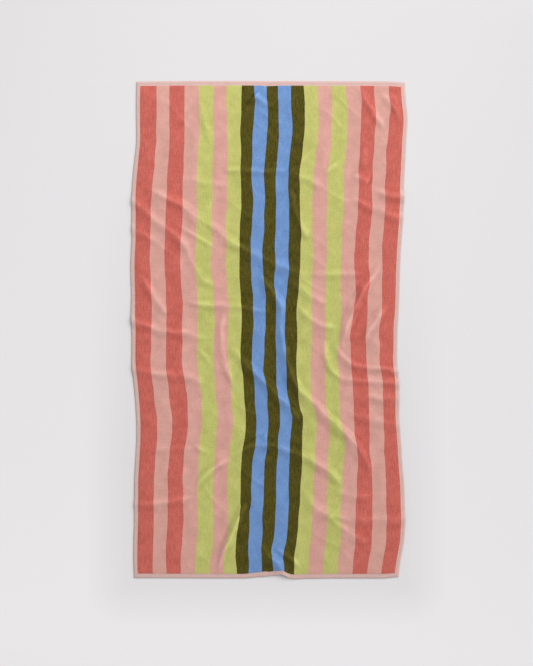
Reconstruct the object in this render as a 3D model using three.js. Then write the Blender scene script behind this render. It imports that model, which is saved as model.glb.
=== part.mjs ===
// A bath towel lying spread out and rumpled on a flat surface: one sheet of cotton terry with a
// flat-woven hem all round. Millimetres, +Z up, the cloth's length along Y and its width along X.
// The sheet is a closed skin. Its underside is 0 where the towel lies flat and rises under each
// fold, and its upper side is one cloth thickness above that.
import * as THREE from 'three';

// The cloth as it was woven and cut.
const CLOTH = { width: 720, length: 1310, pileThickness: 3.4, hemThickness: 2.2 };
const HEM = { sideWidth: 10, endWidth: 12, ramp: 3 };          // ramp: where the pile begins
const GRID = { across: 36, along: 66 };                        // cells inside the hem lines
const COLOUR = { pile: 0xd49f95, roughness: 0.95 };

// Where the cloth lies. Each row is one station along the towel: y, then the x of the left edge,
// of the lines at one and two thirds of the cloth's width, and of the right edge.
const STATIONS = [
  // y     left  third  twoThirds right
  [ 650,  -344,   -98,     113,   353],
  [ 593,  -345,   -98,     117,   360],
  [ 541,  -345,   -98,     117,   361],
  [ 489,  -344,   -98,     114,   357],
  [ 437,  -350,   -99,     109,   355],
  [ 385,  -355,  -100,     105,   352],
  [ 333,  -357,   -98,     105,   352],
  [ 229,  -357,  -101,     103,   345],
  [ 177,  -360,  -103,     103,   342],
  [  73,  -358,   -95,     101,   339],
  [ -31,  -357,   -96,      97,   334],
  [ -83,  -357,   -95,      95,   334],
  [-135,  -352,   -91,      97,   339],
  [-187,  -347,   -87,     102,   339],
  [-239,  -344,   -84,     110,   339],
  [-291,  -344,   -92,     110,   344],
  [-343,  -347,   -97,     108,   347],
  [-395,  -350,   -98,     104,   352],
  [-499,  -350,   -99,      99,   355],
  [-551,  -352,  -103,      96,   352],
  [-603,  -352,  -108,      91,   342],
  [-646,  -350,  -108,      92,   337],
];

// The two ends: each row is x across the towel and how far the edge sits in from the full length.
// The bottom hem is drawn up a little over one fold, gently on its left and steeply on its right.
const TOP_EDGE = { y: 647, inset: [[-360, 2], [-200, 0], [300, 1], [330, 2], [352, 4], [362, 5]] };
const BOTTOM_EDGE = {
  y: -647,
  inset: [[-360, 2], [-62, 1], [-35, 3], [-9, 5], [17, 8], [34, 12], [46, 6], [56, 1], [70, 0],
          [160, 1], [340, 5]],
};

// The folds. Each crest runs in a smooth arc from one point over a second to a third, and its two
// flanks have their own widths, seen from the start. rise and fall are the shares of the length
// over which the crest grows out of the flat cloth and dies away again.
const FOLDS = [
  // name             from          over          to          height left right rise  fall
  ['longUpper',    [-322,  369], [-175,  287], [ -51,  203],  5.5,   20,  26, 0.15, 0.06],
  ['longUpperEnd', [ -84,  222], [  17,  173], [ 128,  141],  5.5,   20,  26, 0.10, 0.40],
  ['longUpperFar', [  98,  147], [ 180,  146], [ 262,  146],  3.5,   16,  20, 0.30, 0.30],
  ['underLong',    [-250,  281], [-184,  242], [-124,  207],  2.5,   13,  16, 0.40, 0.40],
  ['secondUpper',  [-392,  345], [-302,  299], [-220,  222],  4.0,   18,  23, 0.02, 0.10],
  ['secondLower',  [-232,  238], [-198,  166], [-112,  108],  4.0,   18,  23, 0.10, 0.40],
  ['thirdUpper',   [-392,  275], [-328,  251], [-266,  216],  3.0,   16,  20, 0.02, 0.50],
  ['thirdLower',   [-347,  161], [-300,   97], [-258,   36],  3.5,   16,  21, 0.40, 0.20],
  ['leftCross',    [-392,   37], [-268,   -1], [-149,  -25],  5.0,   17,  24, 0.02, 0.30],
  ['leftUpright',  [-114,   62], [-121,  -45], [ -86, -152],  4.0,   16,  18, 0.25, 0.25],
  ['leftFaint',    [-194,  -36], [-162,  -74], [-140, -110],  2.0,   15,  18, 0.40, 0.50],
  ['middleCross',  [-227,   78], [-110,   62], [   0,   51],  5.0,   16,  20, 0.30, 0.40],
  ['lowLeftCross', [-392,  -98], [-268, -113], [-157, -143],  4.5,   17,  22, 0.02, 0.16],
  ['centre',       [-111,  -29], [ -28, -118], [  88, -242],  8.0,   21,  25, 0.35, 0.15],
  ['mainTop',      [ -24,  150], [  13,   96], [  34,   40],  8.5,   18,  31, 0.30, 0.08],
  ['mainUpright',  [  33,   58], [  31,    8], [  41,  -52],  8.5,   18,  31, 0.08, 0.08],
  ['mainBend',     [  36,  -34], [  66, -128], [ 141, -213],  8.5,   18,  31, 0.08, 0.08],
  ['mainLow',      [ 122, -196], [ 216, -283], [ 271, -410],  8.5,   18,  31, 0.08, 0.35],
  ['lowArcRise',   [-110, -340], [ -56, -306], [   4, -297],  5.5,   18,  24, 0.50, 0.10],
  ['lowArc',       [ -20, -298], [  92, -327], [ 190, -414],  5.5,   18,  24, 0.10, 0.20],
  ['lowBlue',      [ -11, -262], [  -3, -296], [  17, -334],  3.0,   14,  16, 0.30, 0.40],
  ['broadLow',     [  84, -410], [ 140, -468], [ 220, -489],  4.0,   18,  23, 0.35, 0.10],
  ['broadEdge',    [ 190, -484], [ 290, -490], [ 392, -489],  4.0,   18,  23, 0.10, 0.02],
  ['broadLowArm',  [ 149, -472], [ 205, -524], [ 271, -553],  4.5,   19,  23, 0.15, 0.30],
  ['broadAbove',   [ 165, -416], [ 220, -430], [ 276, -429],  3.5,   20,  23, 0.30, 0.30],
  ['rightLong',    [ 296,  182], [ 240,   88], [ 199,  -10],  9.0,   20,  22, 0.45, 0.22],
  ['rightFoot',    [ 202,    6], [ 193,  -24], [ 194,  -58],  5.0,   15,  17, 0.35, 0.45],
  ['rightShort',   [ 312,   72], [ 275,   16], [ 245,  -45],  6.0,   18,  20, 0.40, 0.40],
  ['midRightA',    [  45,  132], [  98,  100], [ 153,   65],  3.5,   18,  20, 0.25, 0.25],
  ['midRightB',    [  69,   72], [ 124,   19], [ 200,   -3],  3.5,   16,  20, 0.30, 0.20],
  ['arcInner',     [ 177,  -26], [ 193,  -70], [ 236,  -93],  4.0,   14,  18, 0.40, 0.10],
  ['innerEdge',    [ 216,  -86], [ 298, -101], [ 392, -122],  4.0,   14,  18, 0.10, 0.02],
  ['arcOuter',     [ 147,  -21], [ 160,  -92], [ 222, -130],  4.5,   16,  18, 0.30, 0.10],
  ['outerEdge',    [ 202, -126], [ 292, -134], [ 392, -149],  4.5,   16,  18, 0.10, 0.02],
  ['rightCrossC',  [ 236, -172], [ 310, -178], [ 392, -186],  5.0,   19,  22, 0.40, 0.02],
  ['rightCrossD',  [ 184, -212], [ 280, -233], [ 392, -260],  3.0,   17,  21, 0.35, 0.02],
  ['topRightA',    [ 268,  367], [ 326,  348], [ 392,  340],  6.5,   17,  22, 0.40, 0.02],
  ['topRightB',    [ 208,  348], [ 290,  312], [ 392,  275],  4.0,   17,  22, 0.30, 0.02],
  ['topRightFaint', [ 214,  402], [ 238,  394], [ 262,  384],  4.0,  18,  18, 0.45, 0.20],
  ['cornerA',      [ 231,  642], [ 271,  572], [ 300,  511],  4.5,   16,  18, 0.28, 0.28],
  ['cornerB',      [ 283,  621], [ 320,  587], [ 342,  530],  4.5,   15,  17, 0.35, 0.45],
  ['cornerC',      [ 303,  624], [ 330,  592], [ 345,  556],  4.0,   14,  16, 0.40, 0.50],
  ['topStreak',    [ 250,  486], [ 253,  450], [ 244,  410],  5.0,   17,  18, 0.45, 0.25],
  ['topSoftA',     [-183,  613], [-164,  545], [-151,  477],  3.0,   17,  20, 0.35, 0.35],
  ['topSoftB',     [-122,  417], [ -20,  413], [  76,  424],  3.0,   16,  18, 0.20, 0.45],
  ['topSoftC',     [ 138,  400], [ 164,  420], [ 192,  446],  2.5,   14,  16, 0.40, 0.40],
  ['topSoftD',     [-250,  396], [-172,  385], [ -93,  371],  3.0,   17,  20, 0.30, 0.30],
  ['topCrease',    [ -39,  614], [ -14,  594], [  14,  576],  5.0,   15,  18, 0.20, 0.50],
  ['topKnee',      [  50,  425], [  92,  394], [ 139,  360],  3.5,   19,  20, 0.20, 0.30],
  ['topMiddle',    [  59,  376], [  74,  302], [ 104,  233],  3.5,   16,  17, 0.20, 0.20],
  ['lowLeftA',     [-392, -459], [-290, -449], [-190, -430],  3.5,   16,  21, 0.02, 0.30],
  ['lowLeftB',     [-204, -430], [-150, -364], [ -90, -330],  5.0,   16,  16, 0.35, 0.30],
  ['leftSoft',     [-306, -310], [-244, -305], [-176, -310],  2.5,   17,  21, 0.40, 0.40],
  ['leftSoftB',    [-202, -294], [-174, -311], [-142, -327],  2.0,   15,  18, 0.40, 0.45],
  ['lowCentreA',   [ -57, -441], [ -97, -534], [-130, -640],  9.0,   17,  17, 0.18, 0.40],
  ['hemLift',      [ -30, -536], [  22, -606], [  44, -700],  9.0,   18,  30, 0.30, 0.02],
  ['hemLiftEast',  [  10, -560], [  52, -590], [  88, -630],  5.0,   15,  18, 0.30, 0.35],
].map(([name, from, over, to, height, left, right, rise, fall]) =>
  ({ name, height, left, right, rise, fall, crest: crestLine(from, over, to) }));

// Points along the arc that leaves `from`, passes `over` half way and ends at `to`.
function crestLine(from, over, to, steps = 14) {
  const pull = [0, 1].map((i) => 2 * over[i] - (from[i] + to[i]) / 2);
  return Array.from({ length: steps + 1 }, (_, n) => {
    const t = n / steps;
    return [0, 1].map((i) => (1 - t) ** 2 * from[i] + 2 * t * (1 - t) * pull[i] + t * t * to[i]);
  });
}

// The place on a crest nearest to a point: its distance, its side, its share of the length and
// the vector from the point to the crest.
function nearestOnCrest(crest, x, y) {
  let best = { distance: Infinity };
  for (let n = 0; n + 1 < crest.length; n += 1) {
    const [ax, ay] = crest[n];
    const dx = crest[n + 1][0] - ax;
    const dy = crest[n + 1][1] - ay;
    const t = THREE.MathUtils.clamp(((x - ax) * dx + (y - ay) * dy) / (dx * dx + dy * dy), 0, 1);
    const ex = ax + t * dx - x;
    const ey = ay + t * dy - y;
    const distance = Math.hypot(ex, ey);
    if (distance < best.distance) {
      best = { distance, onLeft: dx * ey - dy * ex < 0, share: (n + t) / (crest.length - 1), ex, ey };
    }
  }
  return best;
}

// Height of the cloth's underside above the surface it lies on. Where folds meet, the higher one
// carries the cloth and the join is soft.
const JOIN = 2.5;
function foldHeight(x, y) {
  let sum = 0;
  for (const fold of FOLDS) {
    const near = nearestOnCrest(fold.crest, x, y);
    const flank = near.onLeft ? fold.left : fold.right;
    if (near.distance >= flank) continue;
    const out = near.distance / flank;
    const profile = (1 - out) ** 2 * (1 + out);
    const grown = THREE.MathUtils.smoothstep(near.share, 0, fold.rise);
    const dying = THREE.MathUtils.smoothstep(1 - near.share, 0, fold.fall);
    sum += (fold.height * profile * grown * dying) ** JOIN;
  }
  return sum ** (1 / JOIN);
}

// Straight-line reading of a table whose first column rises or falls steadily.
function readTable(rows, at, column) {
  const falling = rows[0][0] > rows.at(-1)[0];
  const ordered = falling ? [...rows].reverse() : rows;
  const clamped = THREE.MathUtils.clamp(at, ordered[0][0], ordered.at(-1)[0]);
  const next = Math.max(1, ordered.findIndex((row) => row[0] >= clamped));
  const [low, high] = [ordered[next - 1], ordered[next]];
  const t = (clamped - low[0]) / (high[0] - low[0]);
  return low[column] + t * (high[column] - low[column]);
}

// Where the point at cloth share u (across) and v (up the length) lies, seen from above.
function placeOnSurface(u, v) {
  const y = THREE.MathUtils.lerp(BOTTOM_EDGE.y, TOP_EDGE.y, v);
  const [left, third, twoThirds, right] = [1, 2, 3, 4].map((column) => readTable(STATIONS, y, column));
  const x = readTable([[0, left], [1 / 3, third], [2 / 3, twoThirds], [1, right]], u, 1);
  // An end's inset moves that edge and fades out over the next stretch of cloth.
  const reach = 90;
  const nearTop = Math.max(0, 1 - (TOP_EDGE.y - y) / reach) * readTable(TOP_EDGE.inset, x, 1);
  const nearBottom = Math.max(0, 1 - (y - BOTTOM_EDGE.y) / reach) * readTable(BOTTOM_EDGE.inset, x, 1);
  return [x, y - nearTop + nearBottom];
}

// A grid point close to a crest moves onto it, so that the coarse skin keeps each fold's height.
function snapToCrest(x, y, reach) {
  let best = null;
  for (const fold of FOLDS) {
    const near = nearestOnCrest(fold.crest, x, y);
    if (near.distance < reach && near.share > 0.06 && near.share < 0.94) {
      if (!best || fold.height > best.height) best = { ...near, height: fold.height };
    }
  }
  return best ? [x + best.ex, y + best.ey] : [x, y];
}

// Cell lines across or along the cloth, in mm from one edge: hem edge, start of pile, then even.
function cellLines(size, hem, cells) {
  const inner = hem + HEM.ramp;
  const even = Array.from({ length: cells + 1 }, (_, n) => inner + (n / cells) * (size - 2 * inner));
  return [0, hem, ...even, size - hem, size];
}

function towelGeometry() {
  const columns = cellLines(CLOTH.width, HEM.sideWidth, GRID.across);
  const rows = cellLines(CLOTH.length, HEM.endWidth, GRID.along);
  const spacing = CLOTH.width / GRID.across;
  const wide = columns.length;
  const positions = [];
  const bottomZ = [];

  // The two skins, the underside first, point for point one above the other.
  const plan = rows.flatMap((along, j) => columns.map((across, i) => {
    const place = placeOnSurface(across / CLOTH.width, along / CLOTH.length);
    const inside = i > 2 && i < wide - 3 && j > 2 && j < rows.length - 3;
    return inside ? snapToCrest(...place, 0.42 * spacing) : place;
  }));
  for (const [x, y] of plan) {
    bottomZ.push(foldHeight(x, y));
    positions.push(x, y, bottomZ.at(-1));
  }
  plan.forEach(([x, y], n) => {
    const i = n % wide;
    const j = Math.floor(n / wide);
    const hem = i < 2 || i > wide - 3 || j < 2 || j > rows.length - 3;
    const step = 4;
    const slope = Math.hypot(foldHeight(x + step, y) - foldHeight(x - step, y),
                             foldHeight(x, y + step) - foldHeight(x, y - step)) / (2 * step);
    const thickness = hem ? CLOTH.hemThickness : CLOTH.pileThickness;
    positions.push(x, y, bottomZ[n] + thickness * Math.hypot(1, slope));
  });

  // Each cell is cut along the diagonal that follows the fold through it.
  const index = [];
  const layer = plan.length;
  for (let j = 0; j + 1 < rows.length; j += 1) {
    for (let i = 0; i + 1 < wide; i += 1) {
      const [a, b, c, d] = [j * wide + i, j * wide + i + 1, (j + 1) * wide + i + 1, (j + 1) * wide + i];
      const cut = bottomZ[a] + bottomZ[c] >= bottomZ[b] + bottomZ[d]
        ? [[a, b, c], [a, c, d]] : [[a, b, d], [b, c, d]];
      for (const [p, q, r] of cut) index.push(p, r, q, layer + p, layer + q, layer + r);
    }
  }
  // The cloth's edge closes the two skins all the way round.
  const last = rows.length - 1;
  const rim = [
    ...columns.map((_, i) => i),
    ...rows.slice(1).map((_, j) => (j + 1) * wide + wide - 1),
    ...columns.slice(1).map((_, i) => last * wide + wide - 2 - i),
    ...rows.slice(1, -1).map((_, j) => (last - 1 - j) * wide),
  ];
  rim.forEach((p, n) => {
    const q = rim[(n + 1) % rim.length];
    index.push(p, q, layer + q, p, layer + q, layer + p);
  });

  const geometry = new THREE.BufferGeometry();
  geometry.setAttribute('position', new THREE.Float32BufferAttribute(positions, 3));
  geometry.setIndex(index);
  geometry.computeVertexNormals();
  return geometry;
}

const towel = new THREE.Mesh(
  towelGeometry(),
  new THREE.MeshStandardMaterial({ color: COLOUR.pile, roughness: COLOUR.roughness, metalness: 0 }),
);
towel.name = 'towel';

// The frame's origin is the middle of the towel's footprint, on the surface it lies on.
const box = new THREE.Box3().setFromObject(towel);
const centre = box.getCenter(new THREE.Vector3());
towel.geometry.translate(-centre.x, -centre.y, -box.min.z);

const part = new THREE.Group();
part.name = 'bath_towel';
part.add(towel);
export default part;
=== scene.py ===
import math

import bpy
import numpy as np
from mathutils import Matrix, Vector, noise


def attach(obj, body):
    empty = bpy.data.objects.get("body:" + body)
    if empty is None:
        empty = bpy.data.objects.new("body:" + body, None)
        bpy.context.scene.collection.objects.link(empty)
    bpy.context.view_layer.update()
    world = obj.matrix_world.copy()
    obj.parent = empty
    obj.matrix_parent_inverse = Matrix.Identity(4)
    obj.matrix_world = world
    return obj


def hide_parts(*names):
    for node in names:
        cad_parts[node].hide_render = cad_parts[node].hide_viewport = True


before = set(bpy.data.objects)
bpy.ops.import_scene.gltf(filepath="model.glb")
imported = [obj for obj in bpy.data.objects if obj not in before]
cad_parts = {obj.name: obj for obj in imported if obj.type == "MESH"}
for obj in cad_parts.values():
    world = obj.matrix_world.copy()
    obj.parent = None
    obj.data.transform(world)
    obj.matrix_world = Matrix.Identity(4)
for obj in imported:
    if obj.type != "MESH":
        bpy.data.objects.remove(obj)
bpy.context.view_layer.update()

# The towel: one piece of cotton terry, woven with lengthwise stripes and lying spread out and
# rumpled. Both faces are pile, and all four sides are turned over into a narrow flat hem that is
# stitched down, so the cloth is modelled as one closed sheet that thins and rounds at its edge.
width, length = 0.720, 1.310
side_hem, end_hem = 0.010, 0.012
cell = 0.0034
pile_thickness = 0.0034

# How the two skins stand over the cloth's underside, from the edge inwards, for a hem 10 mm wide:
# the turned edge, the row of stitches that pulls it flat, and the first loops of the pile.
HEM_PROFILE = [
    # from edge, lower skin, upper skin
    (0.0000, 0.0005, 0.0009),
    (0.0007, 0.0001, 0.0016),
    (0.0019, 0.0000, 0.0022),
    (0.0054, 0.0000, 0.0025),
    (0.0066, 0.0000, 0.0022),
    (0.0078, 0.0000, 0.0024),
    (0.0096, 0.0000, 0.0024),
    (0.0102, 0.0000, 0.0027),
    (0.0120, 0.0000, 0.0030),
    (0.0160, 0.0000, pile_thickness),
]

# Where the cloth lies, in millimetres as on the construction drawing: y, then the x of the left
# edge, of the lines at one and two thirds of the width, and of the right edge.
STATIONS = [
    # y     left  third  two thirds  right
    (650,  -344,   -98,     113,   353),
    (593,  -345,   -98,     117,   360),
    (541,  -345,   -98,     117,   361),
    (489,  -344,   -98,     114,   357),
    (437,  -350,   -99,     109,   355),
    (385,  -355,  -100,     105,   352),
    (333,  -357,   -98,     105,   352),
    (229,  -357,  -101,     103,   345),
    (177,  -360,  -103,     103,   342),
    (73,   -358,   -95,     101,   339),
    (-31,  -357,   -96,      97,   334),
    (-83,  -357,   -95,      95,   334),
    (-135, -352,   -91,      97,   339),
    (-187, -347,   -87,     102,   339),
    (-239, -344,   -84,     110,   339),
    (-291, -344,   -92,     110,   344),
    (-343, -347,   -97,     108,   347),
    (-395, -350,   -98,     104,   352),
    (-499, -350,   -99,      99,   355),
    (-551, -352,  -103,      96,   352),
    (-603, -352,  -108,      91,   342),
    (-646, -350,  -108,      92,   337),
]
# The two ends: x, then how far the edge sits in from the full length. A fold lifts the lower one.
TOP_EDGE = (647, [(-360, 2), (-200, 0), (300, 1), (330, 2), (352, 4), (362, 5)])
BOTTOM_EDGE = (-647, [(-360, 2), (-62, 1), (-35, 3), (-9, 5), (17, 8), (34, 12), (46, 6), (56, 1),
                      (70, 0), (160, 1), (300, 1), (340, 5)])

# The rumples, in millimetres. Each crest runs smoothly through its points. left and right are the
# widths of its flanks, seen from its start; rise and fall are the shares of its length over which
# it grows out of the flat cloth and dies away again.
FOLDS = [
    # name        height left right rise  fall  crest
    ("main",            8.5, 18, 31, 0.10, 0.16, ((-24, 150), (-12, 132), (3, 109), (14, 92), (28, 74),
                                                  (34, 50), (31, 14), (34, -22), (43, -58), (54, -92),
                                                  (64, -126), (82, -155), (106, -179), (141, -213),
                                                  (181, -250), (216, -283), (245, -323), (264, -366),
                                                  (271, -410))),
    ("centre",            8, 21, 25, 0.42, 0.12, ((-111, -29), (-84, -62), (-47, -99), (-9, -136),
                                                  (25, -171), (58, -204), (88, -242))),
    ("longUpper",       5.5, 20, 26, 0.08, 0.20, ((-322, 369), (-266, 344), (-219, 318), (-175, 287),
                                                  (-136, 260), (-94, 230), (-51, 203), (-4, 181),
                                                  (37, 166), (77, 151), (128, 141))),
    ("longUpperFar",    3.5, 16, 20, 0.30, 0.30, ((98, 147), (150, 146), (210, 147), (262, 146))),
    ("underLong",       2.5, 12, 15, 0.35, 0.35, ((-250, 281), (-206, 255), (-162, 229), (-124, 207))),
    ("second",            4, 18, 23, 0.02, 0.16, ((-392, 345), (-345, 331), (-304, 297), (-268, 267),
                                                  (-236, 242), (-214, 215), (-203, 184), (-184, 151),
                                                  (-154, 122), (-112, 108))),
    ("third",             3, 16, 20, 0.02, 0.50, ((-392, 275), (-341, 255), (-302, 238), (-266, 216))),
    ("thirdLower",      3.5, 16, 21, 0.40, 0.15, ((-347, 161), (-314, 117), (-286, 75), (-258, 36))),
    ("leftCross",         5, 17, 24, 0.02, 0.30, ((-392, 37), (-337, 19), (-291, 4), (-246, -6),
                                                  (-196, -12), (-149, -25))),
    ("leftUpright",       4, 16, 18, 0.20, 0.20, ((-114, 62), (-122, 12), (-122, -30), (-115, -73),
                                                  (-103, -113), (-86, -152))),
    ("leftFaint",         2, 15, 18, 0.40, 0.50, ((-194, -36), (-162, -74), (-140, -110))),
    ("middleCross",       5, 16, 20, 0.25, 0.45, ((-227, 78), (-173, 67), (-120, 63), (-70, 59),
                                                  (-35, 54), (0, 51))),
    ("lowLeftCross",    4.5, 17, 22, 0.02, 0.16, ((-392, -98), (-316, -109), (-252, -114),
                                                  (-204, -123), (-157, -143))),
    ("lowArc",          5.5, 18, 24, 0.25, 0.14, ((-110, -340), (-75, -314), (-38, -300), (4, -297),
                                                  (44, -309), (84, -323), (119, -340), (151, -361),
                                                  (177, -384), (190, -414))),
    ("lowBlue",           3, 13, 16, 0.25, 0.35, ((-11, -262), (-3, -296), (17, -334))),
    ("broadLow",          4, 22, 29, 0.24, 0.02, ((84, -410), (112, -449), (147, -475), (200, -487),
                                                  (262, -490), (392, -489))),
    ("broadLowArm",     4.5, 19, 23, 0.12, 0.25, ((149, -472), (186, -510), (225, -535), (271, -553))),
    ("broadAbove",      3.5, 20, 23, 0.30, 0.25, ((165, -416), (213, -429), (276, -429))),
    ("rightLong",         9, 20, 22, 0.36, 0.38, ((296, 182), (275, 144), (249, 105), (228, 67),
                                                  (211, 30), (200, -5), (194, -36), (196, -66))),
    ("rightShort",        6, 18, 20, 0.40, 0.40, ((312, 72), (287, 36), (261, -6), (245, -45))),
    ("midRightA",       3.5, 18, 20, 0.20, 0.16, ((45, 132), (83, 110), (115, 89), (153, 65))),
    ("midRightB",       3.5, 16, 20, 0.25, 0.30, ((69, 72), (98, 41), (126, 18), (158, 9), (188, 4))),
    ("arcInner",          4, 13, 18, 0.25, 0.02, ((177, -26), (180, -48), (190, -66), (207, -81),
                                                  (230, -91), (258, -98), (292, -99), (328, -108),
                                                  (392, -122))),
    ("arcOuter",        4.5, 16, 18, 0.16, 0.02, ((147, -21), (151, -72), (174, -114), (221, -130),
                                                  (292, -133), (392, -149))),
    ("rightCrossC",       4, 22, 26, 0.60, 0.02, ((224, -170), (290, -176), (392, -186))),
    ("rightCrossD",       3, 20, 25, 0.40, 0.02, ((184, -212), (252, -226), (300, -238), (392, -260))),
    ("topRightA",       6.5, 17, 22, 0.45, 0.02, ((268, 367), (312, 350), (392, 340))),
    ("topRightB",         4, 17, 22, 0.30, 0.02, ((208, 348), (244, 330), (283, 315), (318, 299),
                                                  (392, 275))),
    ("topRightFaint",     4, 18, 18, 0.45, 0.12, ((214, 402), (238, 394), (262, 384))),
    ("cornerA",         4.5, 16, 18, 0.28, 0.25, ((231, 642), (250, 603), (271, 570), (289, 543),
                                                  (300, 511))),
    ("cornerB",         4.5, 15, 17, 0.35, 0.45, ((283, 621), (311, 598), (333, 570), (342, 530))),
    ("cornerC",           4, 14, 16, 0.40, 0.50, ((303, 624), (322, 602), (338, 578), (345, 556))),
    ("topStreak",         3, 17, 20, 0.50, 0.30, ((250, 486), (254, 450), (244, 410))),
    ("topSoftA",          3, 17, 20, 0.35, 0.35, ((-183, 613), (-168, 558), (-156, 510), (-151, 477))),
    ("topSoftB",          3, 15, 18, 0.12, 0.45, ((-122, 417), (-60, 415), (16, 413), (76, 424))),
    ("topSoftC",        2.5, 13, 16, 0.40, 0.40, ((138, 400), (164, 420), (192, 446))),
    ("topSoftD",          3, 17, 20, 0.25, 0.30, ((-250, 396), (-172, 385), (-93, 371))),
    ("topCrease",         5, 14, 18, 0.16, 0.50, ((-39, 614), (-14, 594), (14, 576))),
    ("topKnee",         3.5, 19, 20, 0.15, 0.30, ((50, 425), (78, 402), (112, 388), (139, 360))),
    ("topMiddle",       3.5, 15, 17, 0.20, 0.15, ((59, 376), (68, 320), (83, 276), (104, 233))),
    ("lowLeftA",        3.5, 16, 21, 0.02, 0.25, ((-392, -459), (-300, -450), (-246, -442),
                                                  (-190, -430))),
    ("lowLeftB",          5, 15, 16, 0.35, 0.30, ((-204, -430), (-166, -380), (-130, -350), (-90, -330))),
    ("leftSoft",        2.5, 17, 21, 0.35, 0.35, ((-306, -310), (-244, -305), (-176, -310))),
    ("leftSoftB",         2, 15, 18, 0.40, 0.45, ((-202, -294), (-174, -311), (-142, -327))),
    ("lowCentreA",        9, 17, 17, 0.16, 0.40, ((-57, -441), (-82, -498), (-99, -542), (-117, -578),
                                                  (-130, -640))),
    ("hemLift",           9, 18, 30, 0.30, 0.02, ((-30, -536), (-12, -566), (2, -588), (19, -600),
                                                  (30, -613), (37, -632), (43, -665), (44, -700))),
    ("hemLiftEast",       5, 14, 18, 0.30, 0.35, ((10, -560), (32, -577), (54, -591), (72, -608),
                                                  (88, -630))),
]


def smooth(t):
    """Smooth step of an array from 0 to 1."""
    t = np.clip(t, 0, 1)
    return t * t * (3 - 2 * t)


def crest_line(points, steps=6):
    """A smooth line through the points of a crest, with this many steps between two of them."""
    points = np.array(points, float)
    points = np.vstack([2 * points[0] - points[1], points, 2 * points[-1] - points[-2]])
    t = np.linspace(0, 1, steps, endpoint=False)[:, None]
    spans = [b + t / 2 * (c - a + t * (2 * a - 5 * b + 4 * c - d + t * (3 * b - a - 3 * c + d)))
             for a, b, c, d in zip(points, points[1:], points[2:], points[3:])]
    return np.vstack([*spans, points[-2:-1]])


def from_crest(crest, x, y):
    """For points x, y: the vector to the crest, its length, the side and the share of the way."""
    nearest = np.full(x.shape, np.inf)
    to_x, to_y, side, share = (np.zeros_like(x) for _ in range(4))
    for n, ((ax, ay), (bx, by)) in enumerate(zip(crest, crest[1:])):
        dx, dy = bx - ax, by - ay
        t = np.clip(((x - ax) * dx + (y - ay) * dy) / (dx * dx + dy * dy), 0, 1)
        ex, ey = ax + t * dx - x, ay + t * dy - y
        distance = np.hypot(ex, ey)
        closer = distance < nearest
        nearest = np.where(closer, distance, nearest)
        to_x, to_y = np.where(closer, ex, to_x), np.where(closer, ey, to_y)
        side = np.where(closer, dy * ex - dx * ey, side)
        share = np.where(closer, (n + t) / (len(crest) - 1), share)
    return to_x, to_y, nearest, side, share


def along_folds(x, y, reach, narrow_end=0.6):
    """Yield, for each fold, what its crest does to the points within reach of its flanks, which
    are narrower at its two ends."""
    for _, height, left, right, rise, fall, points in FOLDS:
        crest = crest_line(points)
        margin = max(left, right) + reach
        low, high = crest.min(axis=0) - margin, crest.max(axis=0) + margin
        near = np.flatnonzero((x > low[0]) & (x < high[0]) & (y > low[1]) & (y < high[1]))
        to_x, to_y, distance, side, share = from_crest(crest, x[near], y[near])
        grown = np.clip(share / rise, 0, 1) * np.clip((1 - share) / fall, 0, 1)
        flank = np.where(side > 0, left, right) * (narrow_end + (1 - narrow_end) * grown)
        yield near, to_x, to_y, distance, flank, height * smooth(grown)


def fold_height(x, y, reach=60, round_off=2.0, join=2.5, shoulder=0.2):
    """Height of the folds, in millimetres. A fold is round at its crest, eases out at its foot and
    stands on a low broad shoulder. Where two meet, the higher one carries the cloth, with a soft
    join."""
    total = np.zeros_like(x)
    for near, _, _, distance, flank, height in along_folds(x, y, reach):
        down = np.hypot(distance, round_off) - round_off
        out = np.clip(down / (np.hypot(flank, round_off) - round_off), 0, 1)
        ridge, broad = (1 - out) ** 2 * (1 + out), 1 - smooth(distance / (3 * flank))
        fold = (1 - shoulder) * ridge + shoulder * broad
        total[near] += (height * fold) ** join
    return total ** (1 / join)


def drawn_in(x, y, reach=60, taken_up=0.8, give=2.2, most=0.25):
    """Move points towards each crest by the cloth that its flanks take up, and by what the pile
    gives sideways there, which lets the stripes run along a fold before they cross it. No point
    moves by more than a share of the flank's width."""
    move_x, move_y = np.zeros_like(x), np.zeros_like(y)
    for near, to_x, to_y, distance, flank, height in along_folds(x, y, reach):
        taken = np.minimum(give * taken_up * height ** 2 / flank, most * flank)
        inside = smooth(distance / flank)
        share = inside * (1 - smooth((distance - flank) / reach))
        pull = taken * share / np.maximum(distance, 1e-6)
        move_x[near] += pull * to_x
        move_y[near] += pull * to_y
    return x + move_x, y + move_y


def eased(x, at, values, corner):
    """Read values at x, with the corners between straight pieces rounded off."""
    return sum(np.interp(x + step * corner, at, values) for step in (-1, -0.35, 0.35, 1)) / 4


def wave(a, b, size_a, size_b, seed):
    """Even noise from about -1 to 1, with its hollows this far apart in a and in b."""
    return np.array([noise.noise((p / size_a, q / size_b, seed)) for p, q in zip(a, b)])


# How far in from each end the cloth is drawn along with its edge, the sway of the stripes between
# the two sides, and how much the corners of the sides and of the ends are rounded off.
end_strip = 90
sway_wide, sway_narrow = 5.0, 2.4
side_corner, end_corner = 14, 6


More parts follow.
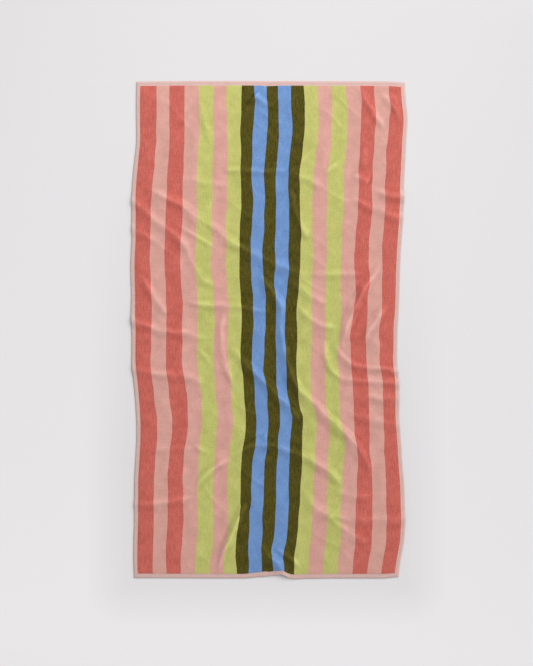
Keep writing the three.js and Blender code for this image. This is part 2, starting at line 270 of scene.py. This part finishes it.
def lies_at(across, along):
    """Where the cloth's point at across, along (metres) lies, in millimetres from above."""
    u, v = across / width, along / length
    y = BOTTOM_EDGE[0] + v * (TOP_EDGE[0] - BOTTOM_EDGE[0])
    at, *columns = np.array(STATIONS[::-1], float).T
    left, third, two_thirds, right = (eased(y, at, column, side_corner) for column in columns)
    x = np.where(u < 1 / 3, left + 3 * u * (third - left),
        np.where(u < 2 / 3, third + (3 * u - 1) * (two_thirds - third),
                 two_thirds + (3 * u - 2) * (right - two_thirds)))
    sway = (sway_wide * wave(across, along, 0.09, 0.16, 3.1)
            + sway_narrow * wave(across, along, 0.04, 0.05, 6.2))
    x = x + sway * smooth(np.minimum(across, width - across) / 0.05)
    x, y = drawn_in(x, y)
    for (edge, inset), away in ((TOP_EDGE, -1), (BOTTOM_EDGE, 1)):
        near = np.clip(1 - np.abs(edge - y) / end_strip, 0, 1)
        y = y + away * near * eased(x, *np.array(inset, float).T, end_corner)
    return x, y


# What loosens the folds: how much, over what distance in millimetres, and a seed. Their crests
# stray to either side and are uneven in height, and low swells lie between them.
STRAY_X = ((1.5, 60, 11.3), (2.4, 30, 15.3))
STRAY_Y = ((1.5, 60, 14.9), (2.4, 30, 18.9))
UNEVEN = ((0.5, 46, 21.7), (0.15, 24, 25.2))
SWELLS = ((3.0, 95, 1.7), (1.8, 42, 8.3))


def waves(x, y, layers, shape=lambda layer: layer):
    """The sum of layers of even noise, each of them shaped first."""
    return sum(much * shape(wave(x, y, size, size, seed)) for much, size, seed in layers)


def raised(swell, foot=0.2):
    """The part of a swell above the floor, with a soft foot."""
    return (swell + np.hypot(swell, foot)) / 2


def creases(along_them, over_them, long, wide, seed, rounding):
    """Thin ridges of height 1, which run where even noise passes through zero."""
    return (1 - np.hypot(wave(along_them, over_them, long, wide, seed), rounding)) ** 4


def rumples(x, y, loose):
    """Height of the cloth's underside over the floor, in millimetres: the folds on a line that
    wanders, soft swells, and small creases with no place of their own, most of them running down
    to the right. loose is 1 where the cloth is free to swell and 0 where it lies down."""
    folds = fold_height(x + waves(x, y, STRAY_X), y + waves(x, y, STRAY_Y))
    folds = folds * (1 + waves(x, y, UNEVEN))
    swells = waves(x, y, SWELLS, raised)
    down, over = 0.8 * x - 0.6 * y, 0.6 * x + 0.8 * y
    running_down = creases(down, over, 110, 46, 31.4, 0.12)
    running_over = creases(over, down, 90, 50, 52.8, 0.14)
    many = np.maximum(0.5 + wave(x, y, 120, 120, 40.2), 0)
    return folds + loose * (swells + 2.4 * many * running_down + 1.2 * running_over)


def sheet_lines(size, hem):
    """Grid lines from one edge to the other, close over the hem and then even, and the numbers of
    the fewer lines that are enough for the underside."""
    edge = np.array([row[0] for row in HEM_PROFILE]) * hem / side_hem
    inner = size - 2 * edge[-1]
    even = edge[-1] + np.linspace(0, inner, 3 * round(inner / cell / 3) + 1)[1:-1]
    lines = np.concatenate([edge, even, size - edge[::-1]])
    last = len(edge) - 1
    return lines, np.r_[0:3, last:len(lines) - last:3, len(lines) - 3:len(lines)]


def sheet_points(across, along, held_strip=0.06, held_loose=0.15, uneven_pile=0.0005):
    """Places of the lower and upper skins for points of the cloth, in metres. The hem holds a strip
    of cloth nearly flat, and the pile is a little uneven in thickness."""
    x, y = lies_at(across, along)
    edge = np.minimum(np.minimum(across, width - across),
                      np.minimum(along, length - along) * side_hem / end_hem)
    loose = held_loose + (1 - held_loose) * smooth(edge / held_strip)
    rest = rumples(x, y, loose)
    slope = np.hypot(rumples(x + 2, y, loose) - rest, rumples(x, y + 2, loose) - rest) / 2
    profile = np.array(HEM_PROFILE)
    lower = np.interp(edge, profile[:, 0], profile[:, 1])
    upper = np.interp(edge, profile[:, 0], profile[:, 2]) * np.hypot(1, slope)
    upper += uneven_pile * wave(x, y, 20, 20, 5.5) * smooth(edge / 0.02)
    flat = np.stack([x, y, rest], axis=-1) / 1000
    return flat + lower[:, None] * [0, 0, 1], flat + upper[:, None] * [0, 0, 1]


def grid_faces(numbers):
    """Four-sided faces between the vertices of a grid, which face up."""
    return np.stack([numbers[:-1, :-1], numbers[:-1, 1:], numbers[1:, 1:], numbers[1:, :-1]],
                    axis=-1).reshape(-1, 4)


def new_mesh(name, points, edges, faces):
    """A mesh of these points, edges and faces."""
    made = bpy.data.meshes.new(name)
    made.from_pydata(points, edges, faces)
    return made


def in_scene(name, data):
    """A new object in the scene, of this mesh, light or camera."""
    made = bpy.data.objects.new(name, data)
    bpy.context.scene.collection.objects.link(made)
    return made


# The upper skin has all the lines, the lower one every third, and the turned edge joins the two.
columns, lower_columns = sheet_lines(width, side_hem)
rows, lower_rows = sheet_lines(length, end_hem)
across, along = (grid.ravel() for grid in np.meshgrid(columns, rows))
lower_skin, upper_skin = sheet_points(across, along)
grid = np.arange(len(across)).reshape(len(rows), len(columns))
below = grid[np.ix_(lower_rows, lower_columns)]
lower_number = np.full(len(across), -1)
lower_number[below.ravel()] = len(across) + np.arange(below.size)
points = np.concatenate([upper_skin, lower_skin[below.ravel()]])
middle = (points[:, :2].min(axis=0) + points[:, :2].max(axis=0)) / 2
points[:, :2] -= middle

ring = np.concatenate([grid[0, :-1], grid[:-1, -1], grid[-1, :0:-1], grid[::-1, 0]])
stops = np.flatnonzero(lower_number[ring] >= 0)
rim = [[lower_number[ring[a]], lower_number[ring[b]], *ring[a:b + 1][::-1]]
       for a, b in zip(stops, stops[1:])]
upper_faces, lower_faces = grid_faces(grid), grid_faces(lower_number[below])[:, ::-1]

mesh = new_mesh("towel_cloth", points, [], [*upper_faces.tolist(), *lower_faces.tolist(), *rim])
cloth = in_scene("towel_cloth", mesh)
mesh.polygons.foreach_set("use_smooth", [True] * len(mesh.polygons))
corners = np.empty(len(mesh.loops), int)
mesh.loops.foreach_get("vertex_index", corners)
on_cloth = np.stack([across, along], axis=-1)
cloth_uv = np.concatenate([on_cloth, on_cloth[below.ravel()]])[corners]
mesh.uv_layers.new(name="cloth").data.foreach_set("uv", cloth_uv.ravel())

# How sharply the cloth bends over at each place, from -1 in a hollow to 1 along a crest. The terry's
# colour reads it to paint a highlight along each crest and shade into each hollow.
sharpest_bend = 70
rise = lower_skin[:, 2].reshape(grid.shape)
bend = -sum(np.gradient(np.gradient(rise, at, axis=n), at, axis=n)
            for n, at in enumerate((rows, columns)))
bend = np.clip(bend / sharpest_bend, -1, 1).ravel()
mesh.attributes.new("bend", "FLOAT", "POINT").data.foreach_set(
    "value", np.concatenate([bend, -bend[below.ravel()]]))


class Socket:
    """A node's output, so that sums on it are written as sums. node() adds any other node."""

    def __init__(self, tree, output):
        self.tree, self.output = tree, output

    def node(self, kind, inputs, result=0, **settings):
        """Add a node. Its inputs are values or sockets, and a ramp's stops are a setting."""
        made = self.tree.nodes.new("ShaderNode" + kind)
        stops = settings.pop("stops", None)
        for name, value in settings.items():
            owner = made.color_ramp if kind == "ValToRGB" else made
            setattr(owner, name, value)
        if stops:
            ramp = made.color_ramp.elements
            while len(ramp) < len(stops):
                ramp.new(1.0)
            for element, (position, colour) in zip(ramp, stops):
                element.position, element.color = position, (*colour, 1)
        for name, value in inputs.items():
            if isinstance(value, Socket):
                self.tree.links.new(value.output, made.inputs[name])
            else:
                made.inputs[name].default_value = value
        return Socket(self.tree, made.outputs[result])

    def maths(self, operation, *values):
        return self.node("Math", dict(enumerate(values)), operation=operation)

    def __add__(self, other):
        return self.maths("ADD", self, other)

    def __sub__(self, other):
        return self.maths("SUBTRACT", self, other)

    def __rsub__(self, other):
        return self.maths("SUBTRACT", other, self)

    def __mul__(self, other):
        return self.maths("MULTIPLY", self, other)

    def __truediv__(self, other):
        return self.maths("DIVIDE", self, other)

    __radd__, __rmul__ = __add__, __mul__

    def shaded(self, factor):
        """A colour made lighter or darker by a number."""
        return self.node("VectorMath", {0: self, 1: factor}, operation="MULTIPLY")


def material(name, on_cloth=True, **surface):
    """A Principled material with these constants. Returns it, its shader and the place that its
    patterns read: across and along the flat cloth, or the object's own coordinates."""
    made = bpy.data.materials.new(name)
    made.use_nodes = True
    shader = made.node_tree.nodes["Principled BSDF"]
    for socket, value in surface.items():
        shader.inputs[socket.replace("_", " ")].default_value = value
    if on_cloth:
        uv = made.node_tree.nodes.new("ShaderNodeUVMap")
        uv.uv_map = "cloth"
        return made, shader, Socket(made.node_tree, uv.outputs[0])
    own = made.node_tree.nodes.new("ShaderNodeTexCoord").outputs["Object"]
    return made, shader, Socket(made.node_tree, own)


def dyed(red, green, blue):
    """The linear colour of a screen colour from 0 to 255."""
    return tuple(((c / 255 + 0.055) / 1.055) ** 2.4 for c in (red, green, blue))


# Yarn colours, and their order from the left hem to the middle stripe and back again.
CORAL, PINK, LIME = dyed(193, 98, 87), dyed(207, 154, 143), dyed(184, 184, 106)
OLIVE, BLUE = dyed(76, 69, 15), dyed(107, 142, 193)
HALF = [CORAL, PINK, CORAL, PINK, LIME, PINK, LIME, OLIVE, BLUE]
STRIPES = HALF + [OLIVE] + HALF[::-1]

terry, terry_shader, place = material("striped_terry", Roughness=0.96, Sheen_Weight=0.08,
                                      Sheen_Roughness=0.6, Specular_IOR_Level=0.1)
across_in = place.node("SeparateXYZ", {0: place}, 0)


def cloth_cells(place, across_size, along_size, seed=0.0):
    """The place on the cloth counted in cells of this size across and along it."""
    return place.node("VectorMath", {0: place, 1: (1 / across_size, 1 / along_size, 0),
                                     2: (0, 0, seed)}, operation="MULTIPLY_ADD")


def cloth_noise(place, across_size, along_size, detail=1.0, seed=0.0):
    """Noise with hollows of this size across and along the cloth, from about -0.5 to 0.5."""
    cells = cloth_cells(place, across_size, along_size, seed)
    return place.node("TexNoise", {"Vector": cells, "Scale": 1.0, "Detail": detail}) - 0.5


# Each stripe's edge steps from loop to loop, so it wanders by half a millimetre.
stray = cloth_noise(place, 0.004, 0.0022, seed=4.0) * 0.0016
stripe_share = (across_in + stray - side_hem) / (width - 2 * side_hem)
stripes = place.node("ValToRGB", {0: stripe_share}, interpolation="CONSTANT",
                     stops=[(n / len(STRIPES), colour) for n, colour in enumerate(STRIPES)])
ribs = cloth_noise(place, 0.0034, 0.018, 2.0, 1.0)
picks = cloth_noise(place, 0.050, 0.0040, 2.0, 2.0)
mottle = cloth_noise(place, 0.030, 0.034, 3.0, 3.0)
flecks = cloth_noise(place, 0.0026, 0.0030, 1.0, 5.0)
loops = place.node("TexVoronoi", {"Vector": cloth_cells(place, 0.0021, 0.0018), "Scale": 1.0,
                                  "Randomness": 0.8})
painted_bend_light = place.node("Attribute", {}, "Fac", attribute_name="bend")
# Dark yarn shows its loops more than pale yarn. A highlight of paler fibre is painted along each crest
# and painted shade into each hollow, more on dark yarn, and the gaps between the loops are painted a
# little darker, as painted shade.
depth = 1.0 - place.node("VectorMath", {0: stripes}, "Value", operation="LENGTH")
tone_and_painted_light = (1.0 + (ribs + flecks) * (depth * 2.2 - 0.38) + picks * 0.10 + mottle * 0.16
        - (loops - 0.4) * 0.08 + painted_bend_light * (depth * 0.14 + 0.02))
# Random mottle, plus the painted highlight on crests and painted shade in hollows, added as paler or
# darker fibre.
mottle_and_painted_bend_light = mottle * 0.09 + painted_bend_light * 0.04 + place.maths("MAXIMUM", painted_bend_light, 0.0) * 0.06
paler_fibre_and_painted_bend_light = place.node("VectorMath", {0: stripes, 1: (0.5, 0.5, 0.5)}, operation="POWER").shaded(mottle_and_painted_bend_light)
coloured = place.node("VectorMath", {0: stripes, 1: tone_and_painted_light, 2: paler_fibre_and_painted_bend_light}, operation="MULTIPLY_ADD")
terry.node_tree.links.new(coloured.output, terry_shader.inputs["Base Color"])
pile_relief = 0.6 - loops * 0.7 + ribs * 0.8 + flecks * 0.8 + picks * 0.2
bump = place.node("Bump", {"Height": pile_relief, "Distance": 0.0009, "Strength": 0.6})
terry.node_tree.links.new(bump.output, terry_shader.inputs["Normal"])

# The hem is the same cloth without loops: a plain weave in pale pink, a little fuzzy.
flat_weave, weave_shader, place = material("hem_weave", Roughness=0.85, Sheen_Weight=0.2,
                                           Sheen_Roughness=0.5, Specular_IOR_Level=0.2)
yarn = 0.0011
warp, weft = (place.maths("SINE", place.node("SeparateXYZ", {0: place}, n) * (2 * math.pi / yarn))
              for n in (0, 1))
weave = warp * weft
hem_tone = 1.0 + cloth_noise(place, 0.012, 0.012, 3.0, 6.0) * 0.14 + weave * 0.04
hem_pink = place.node("VectorMath", {0: dyed(210, 176, 169), 1: hem_tone}, operation="MULTIPLY")
flat_weave.node_tree.links.new(hem_pink.output, weave_shader.inputs["Base Color"])
bump = place.node("Bump", {"Height": weave, "Distance": 0.0002, "Strength": 0.6})
flat_weave.node_tree.links.new(bump.output, weave_shader.inputs["Normal"])

mesh.materials.append(terry)
mesh.materials.append(flat_weave)


def in_hem(rows, columns):
    """Whether each face between these lines of a grid lies in the hem."""
    v, u = ((lines[1:] + lines[:-1]) / 2 for lines in (rows, columns))
    return np.logical_or.outer(np.minimum(v, length - v) < end_hem,
                               np.minimum(u, width - u) < side_hem).ravel()


hem_faces = [in_hem(rows, columns), in_hem(rows[lower_rows], columns[lower_columns]),
             np.ones(len(rim), bool)]
mesh.polygons.foreach_set("material_index", np.concatenate(hem_faces).astype(int))
mesh.update()

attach(cloth, "root")
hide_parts("towel")

# The hem's stitches: one row of lockstitch all the way round, in thread of the hem's colour, which
# holds the turned edge down. Each stitch shows as a short thread, thickest in the middle, and
# sinks into the cloth at both ends.
stitch_pitch, stitch_size = 0.0032, (0.0028, 0.0007, 0.0005)
seam_step = 0.0025
seam_in = HEM_PROFILE[4][0]  # where the profile is pulled flat
seam_up = seam_in * end_hem / side_hem
seam_corners = [(seam_in, seam_up), (width - seam_in, seam_up),
                (width - seam_in, length - seam_up), (seam_in, length - seam_up)]
seam_line = np.concatenate([np.linspace(a, b, round(math.dist(a, b) / seam_step), endpoint=False)
                            for a, b in zip(seam_corners, seam_corners[1:] + seam_corners[:1])])
_, seam_points = sheet_points(*seam_line.T)
seam_points[:, :2] -= middle
seam_points[:, 2] += stitch_size[2] / 4
seam_edges = [*zip(range(len(seam_points) - 1), range(1, len(seam_points))),
              (len(seam_points) - 1, 0)]
seam = in_scene("seam", new_mesh("seam", seam_points, seam_edges, []))

thread, thread_shader, place = material("sewing_thread", on_cloth=False, Roughness=0.7,
                                        Specular_IOR_Level=0.3)
ply = place.node("TexNoise", {"Vector": place, "Scale": 1400.0, "Detail": 1.0}) - 0.5
thread_pink = place.node("VectorMath", {0: dyed(214, 182, 174), 1: 1.0 + ply * 0.3},
                         operation="MULTIPLY")
thread.node_tree.links.new(thread_pink.output, thread_shader.inputs["Base Color"])

tree = bpy.data.node_groups.new("row_of_stitches", "GeometryNodeTree")
tree.interface.new_socket("Seam", in_out="INPUT", socket_type="NodeSocketGeometry")
pitch_input = tree.interface.new_socket("Pitch", in_out="INPUT", socket_type="NodeSocketFloat")
size_input = tree.interface.new_socket("Stitch size", in_out="INPUT", socket_type="NodeSocketVector")
tree.interface.new_socket("Stitches", in_out="OUTPUT", socket_type="NodeSocketGeometry")


def step(kind, inputs, **settings):
    """Add a node to the stitches' tree. Its inputs are values or other nodes' outputs."""
    made = tree.nodes.new(kind)
    for name, value in settings.items():
        setattr(made, name, value)
    for name, value in inputs.items():
        if isinstance(value, bpy.types.NodeSocket):
            tree.links.new(value, made.inputs[name])
        else:
            made.inputs[name].default_value = value
    return made.outputs


given = step("NodeGroupInput", {})
line = step("GeometryNodeMeshToCurve", {"Mesh": given["Seam"]})["Curve"]
holes = step("GeometryNodeCurveToPoints", {"Curve": line, "Length": given["Pitch"]}, mode="LENGTH")
turned = step("FunctionNodeAlignRotationToVector", {"Vector": holes["Tangent"]}, axis="X")["Rotation"]
drawn = step("FunctionNodeRandomValue", {"Min": (0.42, 0.40, 0.35), "Max": (0.52, 0.60, 0.65),
                                         "Seed": 5}, data_type="FLOAT_VECTOR")["Value"]
sized = step("ShaderNodeVectorMath", {0: given["Stitch size"], 1: drawn}, operation="MULTIPLY")["Vector"]
ball = step("GeometryNodeMeshUVSphere", {"Segments": 7, "Rings": 4, "Radius": 1.0})["Mesh"]
ball = step("GeometryNodeSetShadeSmooth", {"Geometry": ball})["Geometry"]
laid = step("GeometryNodeInstanceOnPoints", {"Points": holes["Points"], "Instance": ball,
                                             "Rotation": turned, "Scale": sized})["Instances"]
laid = step("GeometryNodeRealizeInstances", {"Geometry": laid})["Geometry"]
laid = step("GeometryNodeSetMaterial", {"Geometry": laid, "Material": thread})["Geometry"]
step("NodeGroupOutput", {"Stitches": laid})

sewing = seam.modifiers.new("sewing", "NODES")
sewing.node_group = tree
sewing[pitch_input.identifier] = stitch_pitch
sewing[size_input.identifier] = stitch_size
sewn = seam.evaluated_get(bpy.context.evaluated_depsgraph_get())
stitches = in_scene("hem_stitches", bpy.data.meshes.new_from_object(sewn))
bpy.data.objects.remove(seam)

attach(stitches, "root")

# The surface it lies on: pale matt paper, painted a little lighter low in the picture, where the lamp
# is far off, and with a soft shadow painted round the towel's lower sides.
floor_reach, floor_level = 6, -0.0004
up_picture, half_picture = (0.14, 1, 0), 0.87
painted_paper_low, painted_paper_high, paper_tint = 0.850, 0.632, (1.004, 0.982, 0.996)
shadow_middle, shadow_reach = (-0.008, -0.006, 0), 0.11
shadow_depth, shadow_low, shadow_high = 0.11, -0.40, 0.45
floor_corners = [(a * floor_reach, b * floor_reach, floor_level)
                 for a, b in ((-1, -1), (1, -1), (1, 1), (-1, 1))]
floor = in_scene("floor", new_mesh("floor", floor_corners, [], [(0, 1, 2, 3)]))
floor_paint, floor_shader, place = material("pale_floor", on_cloth=False, Roughness=0.9)
# The paper's colour is painted lighter low in the picture and darker near the lamp: painted light that
# evens out the lamp's falloff.
up = place.node("VectorMath", {0: place, 1: up_picture}, "Value", operation="DOT_PRODUCT")
paper_with_painted_falloff = place.node("MapRange", {0: up, 1: -half_picture, 2: half_picture, 3: painted_paper_low, 4: painted_paper_high})
# How far each place is past the sides of a box as large as the towel, and too tall to stand over.
shadow_box = (width / 2, length / 2, 1)
from_middle = place.node("VectorMath", {0: place, 1: shadow_middle}, operation="SUBTRACT")
from_middle = place.node("VectorMath", {0: from_middle}, operation="ABSOLUTE")
past_edge = place.node("VectorMath", {0: from_middle, 1: shadow_box}, operation="SUBTRACT")
past_edge = place.node("VectorMath", {0: past_edge, 1: (0, 0, 0)}, operation="MAXIMUM")
past_edge = place.node("VectorMath", {0: past_edge}, "Value", operation="LENGTH")
nearness = place.node("MapRange", {0: past_edge, 1: 0.0, 2: shadow_reach, 3: 1.0, 4: 0.0})
# A soft shadow painted into the paper round the towel, deepest low in the picture and gone towards its
# top.
shadow = place.node("MapRange", {0: up, 1: shadow_low, 2: shadow_high, 3: shadow_depth, 4: 0.0})
paper_with_painted_shadow = paper_with_painted_falloff * (1.0 - nearness * shadow)
floor_colour_with_painted_shadow = place.node("VectorMath", {0: paper_tint, 1: paper_with_painted_shadow}, operation="MULTIPLY")
floor_paint.node_tree.links.new(floor_colour_with_painted_shadow.output, floor_shader.inputs["Base Color"])
floor.data.materials.append(floor_paint)

# The light: a wide soft window from the upper right, a lamp above the far end and an even fill.
world = bpy.data.worlds.new("studio")
bpy.context.scene.world = world
world.use_nodes = True
fill = world.node_tree.nodes["Background"].inputs
fill["Color"].default_value = (1.0, 1.0, 1.0, 1)
fill["Strength"].default_value = 0.49


def add_light(name, kind, energy, aim):
    """A light that shines along aim."""
    light = in_scene(name, bpy.data.lights.new(name, kind))
    light.data.energy = energy
    light.rotation_euler = Vector(aim).to_track_quat("-Z", "Y").to_euler()
    return light


window = add_light("window", "SUN", 1.75, (-0.755, -0.352, -0.62))
window.data.angle = math.radians(50)
lamp = add_light("lamp", "AREA", 33, (-0.3, -2.1, -1.8))
lamp.data.size = 1.6
lamp.location = (0.3, 2.1, 1.8)

# The camera looks straight down on the middle of the towel from well above it.
picture_height, camera_height, film = 1.7316, 3.2, 36
camera = in_scene("camera", bpy.data.cameras.new("camera"))
camera.data.sensor_width = film
camera.data.lens = film * camera_height / picture_height
camera.location = (-0.0064, -0.008, camera_height)
bpy.context.scene.camera = camera
bpy.context.scene.view_settings.view_transform = "Standard"
